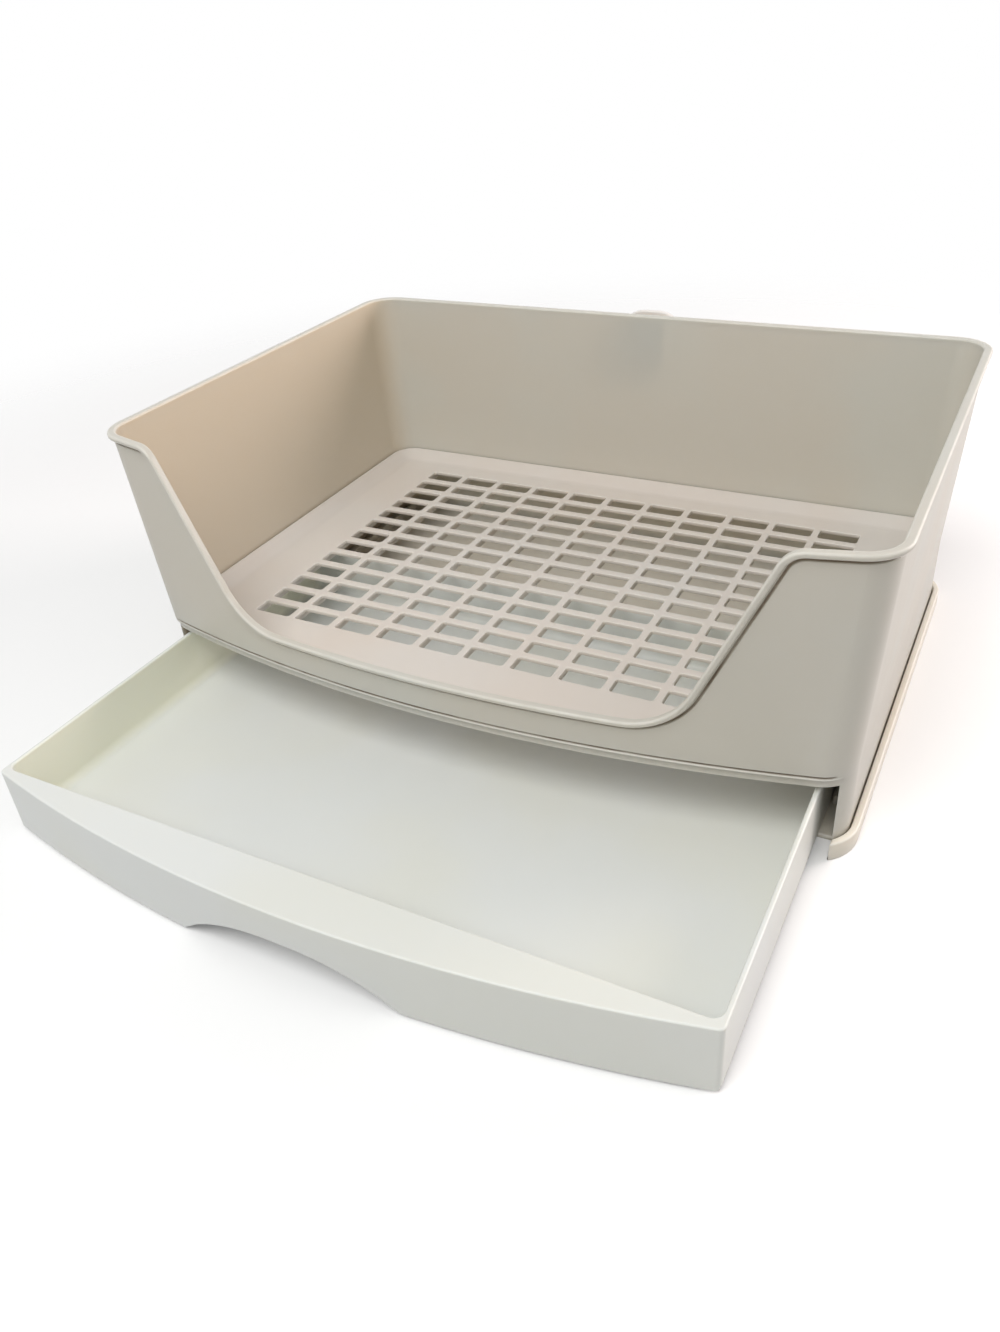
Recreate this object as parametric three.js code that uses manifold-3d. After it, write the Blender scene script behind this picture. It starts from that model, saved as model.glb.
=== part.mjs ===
// Litter box for small animals: base tray, pull-out drawer, litter pan, floor grate and rear clamp.
// Millimetres. X to the right, Y to the back, Z up, origin on the underside of the base tray,
// below the middle of the pan. The drawer stands pulled out.

import * as THREE from 'three';
import { mergeGeometries, mergeVertices } from 'three/addons/utils/BufferGeometryUtils.js';
import Module from 'manifold-3d';

const wasm = await Module();
wasm.setup();

// Fits that several pieces share
const restGap = 0.3;
const overrun = 6;
const smallestRadius = 1.5;
const cornerSteps = 8;
const frontSteps = 24;
const filletSteps = 6;
const entrySteps = 12;
const roundSteps = 32;

// Litter pan
const panHalfWidth = 197;
const panHalfDepth = 145;
const panTopZ = 160.5;
const panWall = 2.2;
const panFrontRadius = 800;
const panCornerRadius = 18;
const panSideFlare = 6.2;
const panFrontFlare = 4.7;
const panBackFlare = 1.7;
const legWidth = 5.5;
const bandHeight = 5;
const bandSetback = 1.8;
const shoulderHeight = 2.5;
const lipReach = 2.5;
const lipThickness = 3;
const ledgeReach = 12;
const ledgeThickness = 2;

// Low entry in the pan's front wall
const sillHeight = 20.5;
const entryBottomHalfWidth = 118.5;
const entryTopHalfWidth = 162.5;
const entryBottomRadius = 34;
const entryTopRadius = 12;

// Base tray
const basePlateThickness = 2.5;
const baseRimHeight = 10;
const baseRimThickness = 3.5;
const baseRimGap = 0.8;
const basePlateSetback = 36;
const guideThickness = 2;
const guideHeight = 4.5;
const guideGap = 1.2;
const guideSetback = 24;

// Drawer
const drawerHeight = 34.2;
const drawerHeadroom = 3.5;
const drawerSideGap = 7.5;
const drawerBackGap = 6;
const drawerWall = 2.5;
const drawerFloorThickness = 2.2;
const drawerCornerRadius = 3;
const drawerLedgeDepth = 25;
const fasciaDrop = 1.3;
const notchHalfWidth = 57;
const notchHeight = 17;
const notchPower = 2.4;
const notchSteps = 24;
const drawerOut = 135;

// Floor grate
const grateGap = 0.7;
const grateThickness = 2.5;
const grateEdgeRise = 5.2;
const grateEdgeThickness = 1.6;
const grateSlopeWidth = 10;
const grateSkirtDepth = 3.5;
const grateSkirtThickness = 1.6;
const grateRibThickness = 2;
const slotLength = 23.8;
const slotWidth = 11.6;
const columnBar = 4.2;
const rowBar = 5;
const grateRearBorder = 26;
const grateFrontBorder = 44;
const grateSideBorder = 40;

// Rear clamp
const boltDrop = 20;
const boltRadius = 4;
const boltHeadSize = 14;
const boltHeadThickness = 2.4;
const boltSpare = 8;
const boltClearance = 0.4;
const holderCheek = 5;
const holderSkin = 1.2;
const jawGap = 5;
const plateHalfWidth = 21;
const plateRise = 0.2;
const plateBelowBolt = 22;
const plateThickness = 3;
const plateCornerRadius = 16;
const hubRadius = 9;
const hubTopRadius = 7.5;
const hubHeight = 9;
const wingReach = 20;
const wingThickness = 3;
const wingRise = 3;
const wingCornerRadius = 4.5;

// Heights that follow from the stack of pieces
const drawerBottomZ = basePlateThickness + restGap;
const drawerTopZ = drawerBottomZ + drawerHeight;
const panFootZ = basePlateThickness + restGap;
const openingTopZ = drawerTopZ + drawerHeadroom;
const bandTopZ = openingTopZ + bandHeight;
const ledgeTopZ = openingTopZ + ledgeThickness;
const grateBottomZ = ledgeTopZ + restGap;
const grateTopZ = grateBottomZ + grateThickness;
const sillZ = bandTopZ + sillHeight;
const lipBottomZ = panTopZ - lipThickness;
const boltZ = panTopZ - boltDrop;

// Places across and along the box
const panBackY = panHalfDepth;
const panFrontY = -panHalfDepth;
const openingHalfWidth = panHalfWidth - legWidth;
const drawerHalfWidth = openingHalfWidth - drawerSideGap;
const drawerBackY = panBackY - panWall - drawerBackGap;
const fasciaFrontY = panFrontY;
const trayInnerFrontY = fasciaFrontY + drawerLedgeDepth;
const wallTopBackY = panBackY + panBackFlare;
const lipBackY = wallTopBackY + lipReach;
const holderPocketDepth = boltHeadThickness + 2 * restGap;
const holderBackY = wallTopBackY + holderPocketDepth + holderSkin;
const plateFrontY = Math.max(lipBackY, holderBackY) + jawGap;
const nutFrontY = plateFrontY + plateThickness + restGap;

// Outlines, as points that run anticlockwise

function arcPoints(centreX, centreY, radius, startAngle, endAngle, steps) {
  const points = [];
  for (let i = 0; i <= steps; i += 1) {
    const angle = startAngle + (endAngle - startAngle) * i / steps;
    points.push(new THREE.Vector2(centreX + radius * Math.cos(angle), centreY + radius * Math.sin(angle)));
  }
  return points;
}

function grown(shape, by) {
  return {
    halfWidth: shape.halfWidth + by,
    backY: shape.backY + by,
    frontY: shape.frontY - by,
    frontRadius: shape.frontRadius + by,
    cornerRadius: Math.max(shape.cornerRadius + by, smallestRadius),
  };
}

// Rectangle with round corners and a bowed front: the front arc meets the corner arcs tangentially
function bowedOutline(shape) {
  const quarter = Math.PI / 2;
  const frontCentreY = shape.frontY + shape.frontRadius;
  const cornerX = shape.halfWidth - shape.cornerRadius;
  const reach = shape.frontRadius - shape.cornerRadius;
  const lean = Math.asin(cornerX / reach);
  const frontCornerY = frontCentreY - reach * Math.cos(lean);
  const backCornerY = shape.backY - shape.cornerRadius;
  const front = arcPoints(0, frontCentreY, shape.frontRadius, lean - quarter, -lean - quarter, frontSteps);
  const corner = (x, y, start, end) => arcPoints(x, y, shape.cornerRadius, start, end, cornerSteps);
  return [
    ...front.reverse().slice(1, -1),
    ...corner(cornerX, frontCornerY, lean - quarter, 0),
    ...corner(cornerX, backCornerY, 0, quarter),
    ...corner(-cornerX, backCornerY, quarter, 2 * quarter),
    ...corner(-cornerX, frontCornerY, 2 * quarter, 3 * quarter - lean),
  ];
}

function roundedRectangle(halfWidth, lowY, highY, radius) {
  const quarter = Math.PI / 2;
  const x = halfWidth - radius;
  const corner = (cornerX, y, turns) => (
    arcPoints(cornerX, y, radius, turns * quarter, (turns + 1) * quarter, filletSteps)
  );
  return [
    ...corner(x, highY - radius, 0),
    ...corner(-x, highY - radius, 1),
    ...corner(-x, lowY + radius, 2),
    ...corner(x, lowY + radius, 3),
  ];
}

// Solids

function solidFrom(geometry) {
  const plain = geometry.clone();
  plain.deleteAttribute('normal');
  plain.deleteAttribute('uv');
  const merged = mergeVertices(plain);
  return new wasm.Manifold(new wasm.Mesh({
    numProp: 3,
    vertProperties: new Float32Array(merged.attributes.position.array),
    triVerts: new Uint32Array(merged.index.array),
  }));
}

function geometryFrom(solid) {
  const mesh = solid.getMesh();
  const geometry = new THREE.BufferGeometry();
  geometry.setAttribute('position', new THREE.BufferAttribute(mesh.vertProperties, mesh.numProp));
  geometry.setIndex(new THREE.BufferAttribute(mesh.triVerts, 1));
  geometry.computeVertexNormals();
  return geometry;
}

function block(lowX, highX, lowY, highY, lowZ, highZ) {
  const geometry = new THREE.BoxGeometry(highX - lowX, highY - lowY, highZ - lowZ);
  geometry.translate((lowX + highX) / 2, (lowY + highY) / 2, (lowZ + highZ) / 2);
  return solidFrom(geometry);
}

function extruded(points, depth) {
  return new THREE.ExtrudeGeometry(new THREE.Shape(points), { depth, bevelEnabled: false });
}

function prism(points, lowZ, highZ) {
  const geometry = extruded(points, highZ - lowZ);
  geometry.translate(0, 0, lowZ);
  return solidFrom(geometry);
}

// The points are X and Z, and the prism runs along Y
function prismAlongY(points, lowY, highY) {
  const geometry = extruded(points, highY - lowY);
  geometry.rotateX(Math.PI / 2);
  geometry.translate(0, highY, 0);
  return solidFrom(geometry);
}

function cylinderAlongY(radius, lowY, highY, z) {
  const geometry = new THREE.CylinderGeometry(radius, radius, highY - lowY, roundSteps);
  geometry.translate(0, (lowY + highY) / 2, z);
  return solidFrom(geometry);
}

// Solid between two outlines with the same number of points, one above the other
function taper(lowPoints, lowZ, highPoints, highZ) {
  const count = lowPoints.length;
  const positions = [];
  lowPoints.forEach((point) => positions.push(point.x, point.y, lowZ));
  highPoints.forEach((point) => positions.push(point.x, point.y, highZ));
  const index = [];
  for (let i = 0; i < count; i += 1) {
    const next = (i + 1) % count;
    index.push(i, next, count + next);
    index.push(i, count + next, count + i);
  }
  THREE.ShapeUtils.triangulateShape(lowPoints, []).forEach(([a, b, c]) => index.push(a, c, b));
  THREE.ShapeUtils.triangulateShape(highPoints, []).forEach((corners) => {
    index.push(...corners.map((corner) => count + corner));
  });
  const geometry = new THREE.BufferGeometry();
  geometry.setAttribute('position', new THREE.Float32BufferAttribute(positions, 3));
  geometry.setIndex(index);
  return solidFrom(geometry);
}

// Plan shapes of the pan: its foot, and its wall at any height above the band
const footShape = {
  halfWidth: panHalfWidth,
  backY: panBackY,
  frontY: panFrontY + bandSetback,
  frontRadius: panFrontRadius,
  cornerRadius: panCornerRadius,
};

function wallShape(z) {
  const climbShare = (z - bandTopZ) / (panTopZ - bandTopZ);
  return {
    ...footShape,
    halfWidth: panHalfWidth + panSideFlare * climbShare,
    backY: panBackY + panBackFlare * climbShare,
    frontY: panFrontY - panFrontFlare * climbShare,
  };
}

function footPrism(growth, lowZ, highZ) {
  return prism(bowedOutline(grown(footShape, growth)), lowZ, highZ);
}

function wallTaper(growth, lowZ, highZ) {
  const low = bowedOutline(grown(wallShape(lowZ), growth));
  const high = bowedOutline(grown(wallShape(highZ), growth));
  return taper(low, lowZ, high, highZ);
}

// Front view of the entry, in X and Z, made larger by the given growth, and open at the top
function entryOutline(growth) {
  const run = entryTopHalfWidth - entryBottomHalfWidth;
  const climb = panTopZ - sillZ;
  const slope = Math.atan2(climb, run);
  const bottomZ = sillZ - growth;
  const topZ = panTopZ - growth;
  const shift = growth / Math.sin(slope);
  const sideX = (z) => entryBottomHalfWidth + shift + (z - sillZ) * run / climb;
  const bottomRadius = entryBottomRadius + growth;
  const topRadius = Math.max(entryTopRadius - growth, smallestRadius);
  const tangentShare = Math.tan(slope / 2);
  const quarter = Math.PI / 2;
  const bottomX = sideX(bottomZ) - bottomRadius * tangentShare;
  const topX = sideX(topZ) + topRadius * tangentShare;
  const right = [
    ...arcPoints(bottomX, bottomZ + bottomRadius, bottomRadius, -quarter, slope - quarter, entrySteps),
    ...arcPoints(topX, topZ - topRadius, topRadius, quarter + slope, quarter, entrySteps),
    new THREE.Vector2(topX, panTopZ + overrun),
  ];
  const left = right.map((point) => new THREE.Vector2(-point.x, point.y)).reverse();
  return [...left, ...right];
}

// Litter pan

function makeLip() {
  const lowZ = sillZ - lipThickness - overrun;
  const inside = wallTaper(-panWall / 2, lowZ - overrun, panTopZ + overrun);
  const skin = wallTaper(lipReach, lowZ, panTopZ).subtract(inside);
  const farX = panHalfWidth + lipReach + panSideFlare + overrun;
  const farY = panHalfDepth + panFrontFlare + lipReach + overrun;
  const topBand = block(-farX, farX, -farY, farY, lipBottomZ, panTopZ + overrun);
  const entryBand = prismAlongY(entryOutline(lipThickness), -farY, 0);
  return skin.intersect(topBand.add(entryBand));
}

function makeClampHolder() {
  const halfWidth = boltHeadSize / 2 + restGap + holderCheek;
  const pocketHalfWidth = boltHeadSize / 2 + restGap;
  const slotHalfWidth = boltRadius + restGap;
  const lowZ = boltZ - boltHeadSize / 2 - holderCheek;
  const highZ = lipBottomZ + lipThickness / 2;
  const body = block(-halfWidth, halfWidth, wallTopBackY - panWall / 2, holderBackY, lowZ, highZ);
  const pocket = block(
    -pocketHalfWidth, pocketHalfWidth, wallTopBackY, wallTopBackY + holderPocketDepth,
    lowZ - overrun, boltZ + pocketHalfWidth,
  );
  const slot = block(
    -slotHalfWidth, slotHalfWidth, wallTopBackY + holderPocketDepth / 2, holderBackY + overrun,
    lowZ - overrun, boltZ + slotHalfWidth,
  );
  return body.subtract(pocket).subtract(slot);
}

function makePan() {
  const shoulderZ = bandTopZ + shoulderHeight;
  const footInside = footPrism(-panWall, panFootZ - overrun, shoulderZ + overrun);
  const foot = footPrism(0, panFootZ, shoulderZ).subtract(footInside);
  const wallInside = wallTaper(-panWall, bandTopZ - overrun, panTopZ + overrun);
  const wall = wallTaper(0, bandTopZ, panTopZ).subtract(wallInside);
  const ledge = footPrism(-panWall / 2, openingTopZ, ledgeTopZ)
    .subtract(footPrism(-panWall - ledgeReach, openingTopZ - overrun, ledgeTopZ + overrun));
  const farY = panHalfDepth + panFrontFlare + lipReach + overrun;
  const entry = prismAlongY(entryOutline(0), -farY, 0);
  const legBackY = panFrontY + bandSetback + panCornerRadius * 2;
  const opening = block(
    -openingHalfWidth, openingHalfWidth, -farY, legBackY,
    panFootZ - overrun, openingTopZ,
  );
  return foot.add(wall).add(ledge).add(makeLip()).subtract(entry).subtract(opening).add(makeClampHolder());
}

// Base tray

function makeBase() {
  const outside = footPrism(baseRimGap + baseRimThickness, 0, baseRimHeight);
  const pocket = footPrism(baseRimGap, basePlateThickness, baseRimHeight + overrun);
  const plateFrontEdgeY = panFrontY + basePlateSetback;
  const farY = panHalfDepth + baseRimThickness + overrun;
  const front = block(
    -openingHalfWidth, openingHalfWidth, -farY, plateFrontEdgeY,
    -overrun, baseRimHeight + overrun,
  );
  const guideInnerX = drawerHalfWidth + guideGap;
  const guide = (side) => {
    const edges = [side * guideInnerX, side * (guideInnerX + guideThickness)];
    return block(
      Math.min(...edges), Math.max(...edges), plateFrontEdgeY + guideSetback, drawerBackY,
      basePlateThickness / 2, basePlateThickness + guideHeight,
    );
  };
  return outside.subtract(pocket).subtract(front).add(guide(-1)).add(guide(1));
}

// Drawer, made where it stands when it is closed

function notchOutline() {
  const points = [];
  const lowZ = drawerBottomZ - fasciaDrop;
  for (let i = 0; i <= notchSteps; i += 1) {
    const acrossShare = 1 - 2 * i / notchSteps;
    const upShare = 1 - Math.abs(acrossShare) ** notchPower;
    points.push(new THREE.Vector2(notchHalfWidth * acrossShare, lowZ + notchHeight * upShare));
  }
  points.push(new THREE.Vector2(-notchHalfWidth, lowZ - overrun));
  points.push(new THREE.Vector2(notchHalfWidth, lowZ - overrun));
  return points;
}

// Hollow behind the bowed fascia, between its inner face and the straight front wall of the tray
function noseHollowOutline(trayFrontY) {
  const radius = panFrontRadius - drawerWall;
  const centreY = fasciaFrontY + panFrontRadius;
  const chordHalf = Math.sqrt(radius ** 2 - (centreY - trayFrontY) ** 2);
  const reach = Math.min(drawerHalfWidth - drawerWall, chordHalf);
  const lean = Math.asin(reach / radius);
  const front = arcPoints(0, centreY, radius, -Math.PI / 2 - lean, -Math.PI / 2 + lean, frontSteps);
  if (chordHalf <= reach) {
    return front;
  }
  return [...front, new THREE.Vector2(reach, trayFrontY), new THREE.Vector2(-reach, trayFrontY)];
}

function makeDrawer() {
  const trayFrontY = trayInnerFrontY - drawerWall;
  const fasciaBottomZ = drawerBottomZ - fasciaDrop;
  const body = prism(bowedOutline({
    halfWidth: drawerHalfWidth,
    backY: drawerBackY,
    frontY: fasciaFrontY,
    frontRadius: panFrontRadius,
    cornerRadius: drawerCornerRadius,
  }), fasciaBottomZ, drawerTopZ);
  const underTray = block(
    -drawerHalfWidth - overrun, drawerHalfWidth + overrun, trayFrontY, drawerBackY + overrun,
    fasciaBottomZ - overrun, drawerBottomZ,
  );
  const trayHollow = block(
    drawerWall - drawerHalfWidth, drawerHalfWidth - drawerWall, trayInnerFrontY, drawerBackY - drawerWall,
    drawerBottomZ + drawerFloorThickness, drawerTopZ + overrun,
  );
  const noseHollow = prism(noseHollowOutline(trayFrontY), fasciaBottomZ - overrun, drawerTopZ - drawerWall);
  const notch = prismAlongY(notchOutline(), fasciaFrontY - overrun, trayFrontY - drawerWall);
  return body.subtract(underTray).subtract(trayHollow).subtract(noseHollow).subtract(notch);
}

// Floor grate

const slotPitchX = slotLength + columnBar;
const slotPitchY = slotWidth + rowBar;
const fieldWidth = 2 * (panHalfWidth - panWall - grateSideBorder);
const fieldRearY = panBackY - panWall - grateRearBorder;
const fieldFrontY = footShape.frontY + panWall + grateFrontBorder;
const slotColumns = Math.floor((fieldWidth + columnBar) / slotPitchX);
const slotRows = Math.floor((fieldRearY - fieldFrontY + rowBar) / slotPitchY);

function makeSlots() {
  const cutters = [];
  for (let column = 0; column < slotColumns; column += 1) {
    for (let row = 0; row < slotRows; row += 1) {
      const cutter = new THREE.BoxGeometry(slotLength, slotWidth, grateThickness + 2 * overrun);
      const centreX = (column - (slotColumns - 1) / 2) * slotPitchX;
      cutter.translate(centreX, fieldRearY - slotWidth / 2 - row * slotPitchY, grateBottomZ);
      cutters.push(cutter);
    }
  }
  return solidFrom(mergeGeometries(cutters));
}

// Stiffening ribs under the bars that run from front to back
function makeRibs() {
  const ribs = [];
  const lengthY = slotRows * slotPitchY + rowBar;
  const depth = grateSkirtDepth + grateThickness / 2;
  const centreY = fieldRearY + rowBar - lengthY / 2;
  const centreZ = grateBottomZ + grateThickness / 2 - depth / 2;
  for (let bar = 0; bar <= slotColumns; bar += 1) {
    const rib = new THREE.BoxGeometry(grateRibThickness, lengthY, depth);
    rib.translate((bar - slotColumns / 2) * slotPitchX, centreY, centreZ);
    ribs.push(rib);
  }
  return solidFrom(mergeGeometries(ribs));
}

function makeGrate() {
  const edgeGrowth = -panWall - grateGap;
  const edgeTopZ = grateTopZ + grateEdgeRise;
  const outside = footPrism(edgeGrowth, grateBottomZ, edgeTopZ);
  const bowlTop = bowedOutline(grown(footShape, edgeGrowth - grateEdgeThickness));
  const bowlFoot = bowedOutline(grown(footShape, edgeGrowth - grateEdgeThickness - grateSlopeWidth));
  const bowl = taper(bowlFoot, grateTopZ, bowlTop, edgeTopZ)
    .add(prism(bowlTop, edgeTopZ, edgeTopZ + overrun));
  const skirtGrowth = -panWall - ledgeReach - grateGap;
  const skirt = footPrism(skirtGrowth, grateBottomZ - grateSkirtDepth, grateBottomZ + grateThickness / 2)
    .subtract(footPrism(
      skirtGrowth - grateSkirtThickness,
      grateBottomZ - grateSkirtDepth - overrun, grateTopZ + overrun,
    ));
  return outside.subtract(bowl).add(skirt).add(makeRibs()).subtract(makeSlots());
}

// Rear clamp

function makeBolt() {
  const headFrontY = wallTopBackY + restGap;
  const endY = nutFrontY + hubHeight + boltSpare;
  const half = boltHeadSize / 2;
  const head = block(-half, half, headFrontY, headFrontY + boltHeadThickness, boltZ - half, boltZ + half);
  return head.add(cylinderAlongY(boltRadius, headFrontY + boltHeadThickness / 2, endY, boltZ));
}

function makeClampPlate() {
  const body = prismAlongY(
    roundedRectangle(plateHalfWidth, boltZ - plateBelowBolt, panTopZ + plateRise, plateCornerRadius),
    plateFrontY, plateFrontY + plateThickness,
  );
  const bore = cylinderAlongY(
    boltRadius + boltClearance, plateFrontY - overrun, plateFrontY + plateThickness + overrun, boltZ,
  );
  return body.subtract(bore);
}

function makeWingNut() {
  const backY = nutFrontY + hubHeight;
  const hubProfile = [
    new THREE.Vector2(0, nutFrontY),
    new THREE.Vector2(hubRadius, nutFrontY),
    new THREE.Vector2(hubTopRadius, backY),
    new THREE.Vector2(0, backY),
  ];
  const hubGeometry = new THREE.LatheGeometry(hubProfile, roundSteps);
  hubGeometry.translate(0, 0, boltZ);
  const wings = prism(
    roundedRectangle(wingReach, nutFrontY + wingThickness / 2, backY + wingRise, wingCornerRadius),
    boltZ - wingThickness / 2, boltZ + wingThickness / 2,
  );
  const farY = backY + wingRise + overrun;
  const bore = cylinderAlongY(boltRadius + boltClearance, nutFrontY - overrun, farY, boltZ);
  return solidFrom(hubGeometry).add(wings).subtract(bore);
}

// Materials, with the colours and sheen of the moulded plastic

function plastic(colour, roughness) {
  return new THREE.MeshStandardMaterial({ color: colour, roughness, metalness: 0 });
}

const beigePlastic = plastic(0xcdc0ac, 0.5);
const creamPlastic = plastic(0xe4dccb, 0.5);
const palePlastic = plastic(0xe3e8e2, 0.45);
const clampPlastic = plastic(0xdedad5, 0.5);

function addPiece(parent, name, solid, material) {
  const mesh = new THREE.Mesh(geometryFrom(solid), material);
  mesh.name = name;
  parent.add(mesh);
  return mesh;
}

const litterBox = new THREE.Group();
addPiece(litterBox, 'base_tray', makeBase(), creamPlastic);
const drawer = addPiece(litterBox, 'drawer', makeDrawer(), palePlastic);
drawer.position.y = -drawerOut;
addPiece(litterBox, 'litter_pan', makePan(), beigePlastic);
addPiece(litterBox, 'floor_grate', makeGrate(), beigePlastic);
addPiece(litterBox, 'clamp_bolt', makeBolt(), clampPlastic);
addPiece(litterBox, 'clamp_plate', makeClampPlate(), clampPlastic);
addPiece(litterBox, 'clamp_wing_nut', makeWingNut(), clampPlastic);

export default litterBox;
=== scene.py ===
import math

import bmesh
import bpy
from mathutils import Matrix, Vector


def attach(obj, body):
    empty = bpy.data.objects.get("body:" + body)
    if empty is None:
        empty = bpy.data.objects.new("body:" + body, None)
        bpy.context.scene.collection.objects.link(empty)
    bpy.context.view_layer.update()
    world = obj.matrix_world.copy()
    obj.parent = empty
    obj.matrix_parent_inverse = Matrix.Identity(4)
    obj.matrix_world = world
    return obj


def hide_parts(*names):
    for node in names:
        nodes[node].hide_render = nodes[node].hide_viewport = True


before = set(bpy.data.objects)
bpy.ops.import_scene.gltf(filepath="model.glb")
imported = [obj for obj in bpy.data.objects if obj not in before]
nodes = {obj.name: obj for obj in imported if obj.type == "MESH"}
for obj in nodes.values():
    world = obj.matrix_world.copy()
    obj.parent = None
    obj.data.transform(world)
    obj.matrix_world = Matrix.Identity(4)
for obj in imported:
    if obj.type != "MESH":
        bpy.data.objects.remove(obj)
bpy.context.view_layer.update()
scene = bpy.context.scene
millimetre = 0.001


# Camera, where the photograph was taken from
print("stage: camera")
cameraSettings = {
    "place": (0.24057, -0.49358, 0.35089),
    "turnToLeft": 29.90,
    "tiltDown": 33.57,
    "roll": 4.58,
    "focalPixels": 1051.2,
    "framePixels": 1332,  # the long side of the picture
    "sensorWidth": 36.0,
    "nearestSeen": 0.01,
}


def addCamera(settings):
    camera = bpy.data.cameras.new("camera")
    camera.sensor_width = settings["sensorWidth"]
    camera.lens = settings["focalPixels"] / settings["framePixels"] * settings["sensorWidth"]
    camera.clip_start = settings["nearestSeen"]
    holder = bpy.data.objects.new("camera", camera)
    scene.collection.objects.link(holder)
    turn = Matrix.Rotation(math.radians(settings["turnToLeft"]), 4, "Z")
    tilt = Matrix.Rotation(math.radians(90 - settings["tiltDown"]), 4, "X")
    roll = Matrix.Rotation(-math.radians(settings["roll"]), 4, "Z")
    holder.matrix_world = Matrix.Translation(settings["place"]) @ turn @ tilt @ roll
    scene.camera = holder


addCamera(cameraSettings)

# Node groups that several plastics share
print("stage: shader groups")
middleGrey = (0.5, 0.5, 0.5, 1)

# Noise patterns: how fine they are, and the stretch of their values that counts
patterns = {
    "clouds": {"scale": 9.0, "detail": 2.0, "low": 0.35, "high": 0.65},
    # patches that break up the paler edges, partly wear and partly painted highlight
    "paleEdgePatches": {"scale": 70.0, "detail": 3.0, "low": 0.30, "high": 0.62},
    # patches that break up the painted shade in grooves
    "grooveShadePatches": {"scale": 45.0, "detail": 2.0, "low": 0.30, "high": 0.60},
    "streaks": {"scale": 900.0, "detail": 2.0, "low": 0.60, "high": 0.72},
    "scuffedPatches": {"scale": 14.0, "detail": 2.0, "low": 0.45, "high": 0.65},
    "sheen": {"scale": 55.0, "detail": 4.0},
    "grain": {"scale": 2200.0, "detail": 2.0, "height": 0.00004},
    "waves": {"scale": 38.0, "detail": 1.0, "height": 0.0006},
}


def newGroup(name, inputs, outputs):
    group = bpy.data.node_groups.new(name, "ShaderNodeTree")
    for label, kind, value in inputs:
        socket = group.interface.new_socket(name=label, in_out="INPUT", socket_type=kind)
        socket.default_value = value
    for label, kind in outputs:
        group.interface.new_socket(name=label, in_out="OUTPUT", socket_type=kind)
    return group, group.nodes.new("NodeGroupInput"), group.nodes.new("NodeGroupOutput")


def addNode(tree, kind, **values):
    node = tree.nodes.new(kind)
    for label, value in values.items():
        setattr(node, label, value)
    return node


def feed(tree, node, pairs):
    for label, source in pairs.items():
        if isinstance(source, bpy.types.NodeSocket):
            tree.links.new(source, node.inputs[label])
        else:
            node.inputs[label].default_value = source


def addMath(tree, operation, first, second, third=0.0):
    node = addNode(tree, "ShaderNodeMath", operation=operation)
    feed(tree, node, {0: first, 1: second, 2: third})
    return node.outputs["Value"]


def addMix(tree, share, first, second):
    node = addNode(tree, "ShaderNodeMix", data_type="RGBA")
    feed(tree, node, {"Factor": share, "A": first, "B": second})
    return node.outputs["Result"]


def addNoise(tree, place, pattern):
    node = addNode(tree, "ShaderNodeTexNoise")
    feed(tree, node, {"Vector": place, "Scale": pattern["scale"], "Detail": pattern["detail"]})
    return node.outputs["Fac"]


def addRange(tree, value, low, high, toLow=0.0, toHigh=1.0):
    node = addNode(tree, "ShaderNodeMapRange", interpolation_type="SMOOTHSTEP")
    feed(tree, node, {"Value": value, "From Min": low, "From Max": high, "To Min": toLow, "To Max": toHigh})
    return node.outputs["Result"]


# From the lowest share, where the pattern is weak, to the whole
def addPatches(tree, place, pattern, lowestShare=0.0):
    return addRange(tree, addNoise(tree, place, pattern), pattern["low"], pattern["high"], lowestShare, 1.0)


def addBump(tree, place, pattern, strength, under=None):
    node = addNode(tree, "ShaderNodeBump")
    feed(tree, node, {
        "Distance": pattern["height"],
        "Height": addNoise(tree, place, pattern),
        "Strength": strength,
    })
    if under is not None:
        tree.links.new(under, node.inputs["Normal"])
    return node.outputs["Normal"]


def addPlace(tree):
    return addNode(tree, "ShaderNodeTexCoord").outputs["Object"]


def addAttribute(tree, name):
    return addNode(tree, "ShaderNodeAttribute", attribute_name=name).outputs["Fac"]


# Colour drift of a moulding, in broad clouds
def makeColourDrift():
    group, given, result = newGroup(
        "colourDrift",
        [("Colour", "NodeSocketColor", middleGrey), ("Cloud Colour", "NodeSocketColor", middleGrey)],
        [("Colour", "NodeSocketColor")],
    )
    cloud = addPatches(group, addPlace(group), patterns["clouds"])
    clouded = addMix(group, cloud, given.outputs["Colour"], given.outputs["Cloud Colour"])
    group.links.new(clouded, result.inputs["Colour"])
    return group


# Painted warm light on the faces of the left side that look to the right, so into the box: a warmer tone
# there
def makePaintedSideLight():
    group, given, result = newGroup(
        "paintedSideLight",
        [("Colour", "NodeSocketColor", middleGrey), ("Side Lit Colour", "NodeSocketColor", middleGrey),
         ("Side From", "NodeSocketFloat", 0.0), ("Side To", "NodeSocketFloat", -1.0)],
        [("Colour", "NodeSocketColor")],
    )
    across = addNode(group, "ShaderNodeSeparateXYZ")
    feed(group, across, {"Vector": addPlace(group)})
    side = addRange(group, across.outputs["X"], given.outputs["Side From"], given.outputs["Side To"])
    mask = addMath(group, "MULTIPLY", side, addAttribute(group, "facesRight"))
    toned = addMix(group, mask, given.outputs["Colour"], given.outputs["Side Lit Colour"])
    group.links.new(toned, result.inputs["Colour"])
    return group


# Rounded edges paler, in patches: partly handling wear, partly a painted highlight along the edges
leastPaleShare = 0.35


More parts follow.
